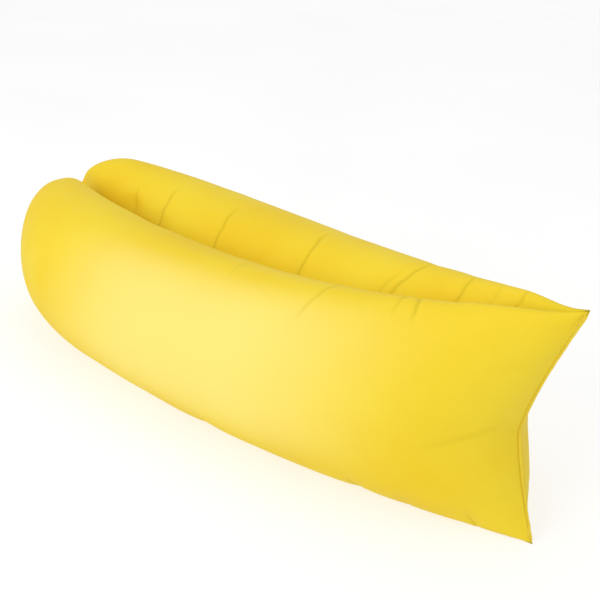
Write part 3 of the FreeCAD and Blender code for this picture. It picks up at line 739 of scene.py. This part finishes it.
def make_sleeve(name, side):
    rows, columns = ((2 * SIM_ROWS - 1, 2 * SIM_COLUMNS))
    shift = halve_cells(inflated_shift(name, side))
    points, shares, turn, along, sharp, _, outward = sleeve_points(name, side, rows, columns)
    ends = window(shares, *CREASE_WINDOW)
    swell = sum(height * smooth_noise(rows, columns, *cells) for height, cells in UNDULATIONS) * ends
    puckers = smooth_noise(2, columns, 1, PUCKER_CELLS)[:1]
    from_seam = (1.0 - shares[:, None]) * LENGTH
    swell = swell + PUCKER * puckers * np.exp(-from_seam / PUCKER_REACH) * ease(from_seam / PUCKER_START)
    points = points + shift + outward * swell[..., None]
    keep_clear(points, side, 0.8 * TOUCH_GAP)
    uvs = join(along[:, None], np.linspace(0.0, 2.0 * CUT_WIDTH, columns + 1))
    piece, kept = grid_mesh(name + "_sleeve", points, uvs, closed=True, sewn_ends=True, flip=side > 0)
    # painted shade in the groove where the chamber lies against the other one
    valley_shade = ease(1.0 - side * points[..., 1] / VALLEY_SHADE_REACH) * ease((0.35 - np.cos(turn)) / 0.5)
    # painted highlight: a pale patch on the middle of the outer faces, fixed in the colour
    painted_highlight = ease((np.cos(turn - PAINTED_HIGHLIGHT_TURN) - 0.40) / 0.55) * window(shares, *PAINTED_HIGHLIGHT_WINDOW)
    # the fold attribute is painted shade along sharp creases
    for attribute, values in (("fold", sharp * ends), ("valley_shade", valley_shade), ("painted_highlight", painted_highlight)):
        layer = piece.data.attributes.new(attribute, "FLOAT", "POINT")
        layer.data.foreach_set("value", values.ravel()[kept].astype(np.float32))
    settle(piece, NYLON)
    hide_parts(name + "_chamber")


for side_name, side_sign in SIDES.items():
    make_sleeve(side_name, side_sign)


# ------------------------------------------------- airtight liners inside the sleeves

LINER_GAP = 0.013           # between the sleeve and the film inside it
LINER_ROWS, LINER_COLUMNS = 150, 112
FILM_CRINKLE = 0.0018
CRINKLES = ((1.0, (60, 34)), (0.6, (25, 50)))   # share of that, cells along and around
MOST_INSET = 0.6            # share of half the width, where the liner is thin


def make_liner(name, side):
    points, _, _, along = chamber_grid(side, LINER_ROWS, LINER_COLUMNS)
    mirrored = points[:, (LINER_COLUMNS - np.arange(LINER_COLUMNS)) % LINER_COLUMNS]
    middle_z = points[..., 2:].mean(axis=1, keepdims=True)
    half_width = 0.5 * (points - mirrored)
    widths = np.linalg.norm(half_width, axis=-1, keepdims=True)
    crinkle = sum(share * smooth_noise(LINER_ROWS, LINER_COLUMNS, *cells) for share, cells in CRINKLES)
    inset = LINER_GAP + FILM_CRINKLE * crinkle[..., None]
    points = points - half_width * np.minimum(inset / np.maximum(widths, 1e-6), MOST_INSET)
    height = points[..., 2:] - middle_z
    tallest = np.abs(height).max(axis=1, keepdims=True)
    points[..., 2:] = middle_z + height * (1.0 - inset / tallest)
    centre_x = MOUTH_X + 0.5 * LENGTH
    points[..., 0] = centre_x + (points[..., 0] - centre_x) * (1.0 - 2.0 * LINER_GAP / LENGTH)
    uvs = join(along[:, None], np.linspace(0.0, 2.0 * CUT_WIDTH, LINER_COLUMNS + 1))
    piece, _ = grid_mesh(name + "_air_liner", points, uvs, closed=True, sewn_ends=True, flip=side > 0)
    settle(piece, FILM)
    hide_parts(name + "_liner")


for side_name, side_sign in SIDES.items():
    make_liner(side_name, side_sign)


# ------------------------------------------------------ thread, laid as short stitches

STITCH_SIDES = 6
STITCH_RINGS = ((0.0, 0.35), (0.25, 1.0), (0.75, 1.0), (1.0, 0.35))     # share of length, of radius


def add_stitches(name, stitches, radius, material):
    """One piece of many small stitches.  A stitch has two end points and the direction outward from
    the cloth.  It is a bent spindle that stands on the cloth in its middle and dives in at its ends."""
    points, faces = [], []
    for start, stop, outward in stitches:
        start, stop, outward = (np.asarray(v, float) for v in (start, stop, outward))
        along = unit(stop - start)
        across = unit(np.cross(along, outward))
        outward = np.cross(across, along)
        base = len(points)
        for level, size in STITCH_RINGS:
            lift = radius * (0.15 + 0.85 * math.sin(math.pi * level))
            centre = start + (stop - start) * level + outward * lift
            for k in range(STITCH_SIDES):
                angle = TURN * k / STITCH_SIDES
                points.append(centre + radius * size * (across * math.cos(angle) + outward * math.sin(angle)))
        last = len(points) - STITCH_SIDES
        for ring in range(base, last, STITCH_SIDES):
            for k in range(STITCH_SIDES):
                a, b = ring + k, ring + (k + 1) % STITCH_SIDES
                faces.append((a, b, b + STITCH_SIDES, a + STITCH_SIDES))
        faces.append(tuple(range(base + STITCH_SIDES - 1, base - 1, -1)))
        faces.append(tuple(range(last, last + STITCH_SIDES)))
    return settle(add_mesh(name, points, faces), material)


# ------------------------------------------------- binding folded over the closed seam

BINDING_HALF = 0.0011       # half the thickness of the folded tape
BINDING_OUT = 0.0048        # how far it stands past the seam
BINDING_IN = 0.0036         # how far its two edges lie on the sleeves
BINDING_CLOTH = 0.0007
BINDING_FLARE = 0.0035      # how much wider its two edges stand apart, on the full sleeves
TRIMMED_LENGTH, TRIMMED_SHARE = 0.022, 0.10     # it is cut narrower at both ears
SEAM_ROWS, SEAM_TRIAL = 260, 1500
LEG_STEPS, NOSE_STEPS = 6, 8
STITCH_PITCH, STITCH_LENGTH, THREAD_RADIUS = 0.0058, 0.0044, 0.00042
STITCH_ROW, STITCH_LIFT = 0.22 * BINDING_OUT, 0.00035
RIPPLE, RIPPLE_KNOTS, RIPPLE_OUT = 0.0007, 40, 0.4
BINDING_FLOOR = 0.0002


def seam_line(count):
    """Points evenly along the closed seam from its foot to its top, with the outward direction."""
    turns = np.linspace(-0.5 * np.pi, 0.5 * np.pi, SEAM_TRIAL)
    line = form(np.ones_like(turns), turns, 1)
    line[:, 1] = 0.0
    even = even_shares(line, turns, count)
    points = form(np.ones_like(even), even, 1)
    points[:, 1] = 0.0
    along = unit(np.gradient(points, axis=0))
    return points, np.stack([along[:, 2], np.zeros(len(even)), -along[:, 0]], axis=-1)


def leg(out):
    """How far a leg of the binding lies beside the seam, where it stands that far out."""
    share = (out + BINDING_IN) / (BINDING_OUT + BINDING_IN - BINDING_HALF)
    return BINDING_HALF + BINDING_FLARE * (1.0 - share) ** 2


def binding_section():
    """The folded tape across the seam, as distances out and beside it."""
    outs = np.linspace(-BINDING_IN, BINDING_OUT - BINDING_HALF, LEG_STEPS + 1)
    first = [(out, leg(out)) for out in outs]
    nose = []
    for k in range(1, NOSE_STEPS):
        angle = math.pi * k / NOSE_STEPS
        nose.append((BINDING_OUT - BINDING_HALF + BINDING_HALF * math.sin(angle),
                     BINDING_HALF * math.cos(angle)))
    return np.array(first + nose + [(out, -beside) for out, beside in reversed(first)])


def at_run(run, lengths, values):
    """Values along a line, taken at a distance run along it."""
    return np.array([np.interp(run, lengths, column) for column in values.T])


def make_binding():
    points, outward = seam_line(SEAM_ROWS)
    knots = np.linspace(0, len(points) - 1, RIPPLE_KNOTS)
    wave = RIPPLE * np.interp(np.arange(len(points)), knots, rng.uniform(-1.0, 1.0, RIPPLE_KNOTS))
    section = binding_section()
    lengths = distances(points)
    from_end = np.minimum(lengths, lengths[-1] - lengths)
    trimmed = (TRIMMED_SHARE + (1.0 - TRIMMED_SHARE) * ease(from_end / TRIMMED_LENGTH))[:, None]
    grid = np.empty((len(points), len(section), 3))
    for k, (out, beside) in enumerate(section):
        grid[:, k] = points + outward * (out * trimmed + RIPPLE_OUT * wave[:, None])
        grid[:, k, 1] += beside * trimmed[:, 0] + wave * (out > 0.0)
    grid[..., 2] = np.maximum(grid[..., 2], BINDING_FLOOR)
    across = distances(section)
    piece, _ = grid_mesh("closed_seam_binding", grid, join(across[None], lengths[:, None]))
    thicken(piece, BINDING_CLOTH)
    settle(piece, BINDING_TAPE)
    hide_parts("end_seam_binding")
    stitches = []
    for side in (-1, 1):
        for k in range(2, int(lengths[-1] / STITCH_PITCH) - 1):
            ends = []
            for offset in (-0.5, 0.5):
                run = k * STITCH_PITCH + offset * STITCH_LENGTH
                shift = np.interp(run, lengths, wave)
                out = unit(at_run(run, lengths, outward))
                place = at_run(run, lengths, points) + out * (STITCH_ROW + RIPPLE_OUT * shift)
                place[1] += side * (leg(STITCH_ROW) + STITCH_LIFT) + shift
                ends.append(place)
            stitches.append((ends[0], ends[1], (0.0, side, 0.0)))
    thread_piece = add_stitches("closed_seam_stitches", stitches, THREAD_RADIUS, YELLOW_THREAD)


make_binding()


# ------------------------------------------------------------- rolled and bent mouth

ROLL_LOW, ROLL_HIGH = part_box("mouth_roll")
BUCKLE_LOW, BUCKLE_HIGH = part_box("buckle_female")
RING_OUTER = 0.5 * (ROLL_HIGH.z - ROLL_LOW.z)
RING_THICKNESS = 0.014
RING_RADIUS = RING_OUTER - 0.5 * RING_THICKNESS
RING_X = ROLL_HIGH.x - RING_OUTER
RING_Z = 0.5 * (ROLL_HIGH.z + ROLL_LOW.z)
ROLL_HALF = ROLL_HIGH.y
ROLL_GAP = 0.130
ROLL_TURNS = 3.0
ROLL_CORE_HALF, ROLL_CORE_THICK = 0.0166, 0.0039    # the innermost turn clears the strips
ROLL_SQUARENESS = 5.0
ROLL_ROWS, ROLL_COLUMNS = 220, 150
ROLL_CLOTH = 0.0004
FINE_PLEAT, BROAD_PLEAT, PLEAT_DRIFT = 0.0026, 0.0071, 0.021    # metres per radian along the ring
PLEAT_INNER, PLEAT_OUTER = 0.0003, 0.0012   # depth in the first turn and in the last
ROLL_BULGE, BULGE_PITCH = 0.0006, 0.017
LOOSE_END = 0.0012          # how much looser it is wound at its two ends


def squared(value):
    """A cosine or sine of a section with squared corners."""
    return np.sign(value) * np.abs(value) ** (2.0 / ROLL_SQUARENESS)


def make_roll():
    reach = math.pi - math.asin(0.5 * ROLL_GAP / RING_RADIUS)
    angles = np.linspace(-reach, reach, ROLL_ROWS)[:, None]
    winding = np.linspace(0.0, TURN * ROLL_TURNS, ROLL_COLUMNS)[None]
    grown = winding / winding[0, -1]
    half = ROLL_CORE_HALF + (ROLL_HALF - ROLL_CLOTH - ROLL_CORE_HALF) * grown
    thick = ROLL_CORE_THICK + (0.5 * RING_THICKNESS - ROLL_CLOTH - ROLL_CORE_THICK) * grown
    cosine, sine = np.cos(winding), np.sin(winding)
    run = angles * RING_RADIUS
    fine = np.sin(run / FINE_PLEAT + 1.7 * np.sin(run / PLEAT_DRIFT))
    broad = np.sin(run / BROAD_PLEAT + 0.8)
    pleats = (0.6 * fine + 0.4 * broad) * (PLEAT_INNER + (PLEAT_OUTER - PLEAT_INNER) * grown)
    radial = thick * squared(sine) + pleats * clip(0.25 - sine)
    bulge = ROLL_BULGE * np.sin(run / BULGE_PITCH + 3.0 * grown) * grown
    across = half * squared(cosine) + cosine * bulge
    loose = LOOSE_END * grown * (np.abs(angles) / reach) ** 6
    radius = RING_RADIUS + radial + np.sign(sine) * loose
    points = join(RING_X + radius * np.cos(angles), across, RING_Z + radius * np.sin(angles))
    wound = distances(points[ROLL_ROWS // 2])
    uvs = join(wound[None], run)
    piece, _ = grid_mesh("rolled_mouth", points, uvs)
    thicken(piece, ROLL_CLOTH)
    settle(piece, NYLON)
    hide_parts("mouth_roll")


make_roll()


# --------------------------------------------- throats, gathered between roll and sleeve

THROAT_LOW, THROAT_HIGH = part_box("far_throat")
THROAT_FAN_X = 0.060        # the cloth fans out over this much more before it meets the sleeve
THROAT_CUT = (0.36, 0.30)
THROAT_ROWS, THROAT_COLUMNS = 90, 150
THROAT_FAN_Z = 0.012
RIM_WAVE, RIM_WAVES = 0.0016, 7.0
GATHERS, GATHER_DRIFT = 17.0, 0.35
TIGHT, TIGHT_SWING = 0.0020, 0.0018         # beside the middle plane, at the roll
THROAT_ROOM, THROAT_GAP = 0.016, 0.0012     # most room it takes between the heads, and kept free
THROAT_OPENS = 0.45         # share of its length over which it opens


def make_throat(name, side):
    along = np.linspace(0.0, 1.0, THROAT_ROWS)[:, None]
    up = np.linspace(0.0, 1.0, THROAT_COLUMNS)[None]
    x = THROAT_LOW.x + (THROAT_HIGH.x + THROAT_FAN_X - THROAT_LOW.x) * along
    fan = THROAT_FAN_Z * ease(along)
    low, high = THROAT_LOW.z - fan, THROAT_HIGH.z + fan
    z = low + (high - low) * up + RIM_WAVE * np.sin(TURN * RIM_WAVES * up + 2.0) * (1.0 - along)
    phase = TURN * (GATHERS * up + GATHER_DRIFT * np.sin(TURN * 2.0 * up + side))
    spread = 0.5 + 0.5 * np.sin(phase) * (0.75 + 0.25 * np.sin(TURN * 3.0 * up + 1.0))
    room = np.minimum(cleft((x - MOUTH_X) / LENGTH) + TOUCH_GAP, THROAT_ROOM) - THROAT_GAP
    tight = TIGHT + TIGHT_SWING * spread
    loose = TOUCH_GAP + (room - TOUCH_GAP) * (0.35 + 0.6 * spread)
    y = tight + (np.maximum(loose, TOUCH_GAP) - tight) * ease(along / THROAT_OPENS)
    points = join(x, side * y, z)
    uvs = join(along * THROAT_CUT[0], up * THROAT_CUT[1])
    piece, _ = grid_mesh(name + "_gathered_throat", points, uvs, flip=side < 0)
    settle(piece, NYLON)
    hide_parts(name + "_throat")


for side_name, side_sign in SIDES.items():
    make_throat(side_name, side_sign)


# ----------------------------------------------- carried-over parts and their stitching

CAD_FINISHES = {
    "inner_lip_strip": STRIP, "outer_lip_strip": STRIP, "centre_seam_tape": SEAM_TAPE,
    "upper_strap": WEBBING, "lower_strap": WEBBING, "buckle_female": BUCKLE, "buckle_male": BUCKLE,
    "near_prong": BUCKLE, "far_prong": BUCKLE,
}
for node_name, finish in CAD_FINISHES.items():
    node = nodes[node_name]
    node.data.materials.clear()
    node.data.materials.append(finish)


WEBBING_THICKNESS, TACK_LIFT = 0.0013, 0.0001
TACK_X = 0.5 * (BUCKLE_LOW.x + BUCKLE_HIGH.x)
TACK_HALF_WIDTH, TACK_PITCH = 0.0095, 0.00076
TACK_FROM, TACK_TO = 0.0333, 0.0380     # from the middle of the buckle along a strap
TACK_THREAD_RADIUS = 0.0003


def make_bar_tack(name, side):
    """A dense row of stitches that closes a strap's loop, on both faces of the strap."""
    middle_z = 0.5 * (ROLL_LOW.z + ROLL_HIGH.z)
    stitches = []
    for face in (-1, 1):
        x = TACK_X + face * (WEBBING_THICKNESS + TACK_LIFT)
        for k in range(int(2.0 * TACK_HALF_WIDTH / TACK_PITCH)):
            y = -TACK_HALF_WIDTH + k * TACK_PITCH
            start = (x, y, middle_z + side * TACK_FROM)
            stop = (x, y + 0.5 * TACK_PITCH, middle_z + side * TACK_TO)
            stitches.append((start, stop, (face, 0.0, 0.0)))
    add_stitches(name, stitches, TACK_THREAD_RADIUS, BLACK_THREAD)


make_bar_tack("upper_bar_tack", 1)
make_bar_tack("lower_bar_tack", -1)


# ------------------------------------------------------------------ floor and lighting

FLOOR_SIZE, FLOOR_DROP = 80.0, 0.0005
STUDIO_BRIGHTNESS = 0.72
FLOOR_GLOW, FLOOR_GLOW_UNSEEN = 0.62, 0.43  # a lit table: how bright it looks, and how much it lights


def make_floor():
    made = Shader("floor", roughness=0.9, specular=0.1, emission=(1.0, 1.0, 1.0, 1.0))
    seen = made.node("ShaderNodeLightPath").outputs["Is Camera Ray"]
    glow = made.math("ADD", made.math("MULTIPLY", seen, FLOOR_GLOW - FLOOR_GLOW_UNSEEN), FLOOR_GLOW_UNSEEN)
    made.link(glow, "Emission Strength")
    place = made.solid_place()
    made.link(made.ramp(made.noise(place, 0.8), (0.3, grey(0.44)), (0.7, grey(0.47))), "Base Color")
    half = 0.5 * FLOOR_SIZE
    corners = [(-half, -half, 0.0), (half, -half, 0.0), (half, half, 0.0), (-half, half, 0.0)]
    floor = add_mesh("floor", corners, [(0, 1, 2, 3)], smooth=False)
    floor.location.z = -FLOOR_DROP
    floor.data.materials.append(made.material)


def make_light(name, place, aim, size, power):
    data = bpy.data.lights.new(name, "AREA")
    data.shape = "DISK"
    data.size = size
    data.energy = power
    light = bpy.data.objects.new(name, data)
    bpy.context.scene.collection.objects.link(light)
    light.location = place
    light.rotation_euler = (Vector(aim) - Vector(place)).to_track_quat("-Z", "Y").to_euler()


make_floor()
make_light("key", (0.2, -3.6, 2.0), (0.0, 0.0, 0.25), 2.6, 47.0)
make_light("top", (-0.6, 0.4, 3.6), (0.0, 0.0, 0.2), 3.0, 12.0)

world = bpy.data.worlds.new("studio")
world.use_nodes = True
background = world.node_tree.nodes["Background"].inputs
background["Color"].default_value = (1.0, 1.0, 1.0, 1.0)
background["Strength"].default_value = STUDIO_BRIGHTNESS
bpy.context.scene.world = world
bpy.context.scene.view_settings.view_transform = "Standard"
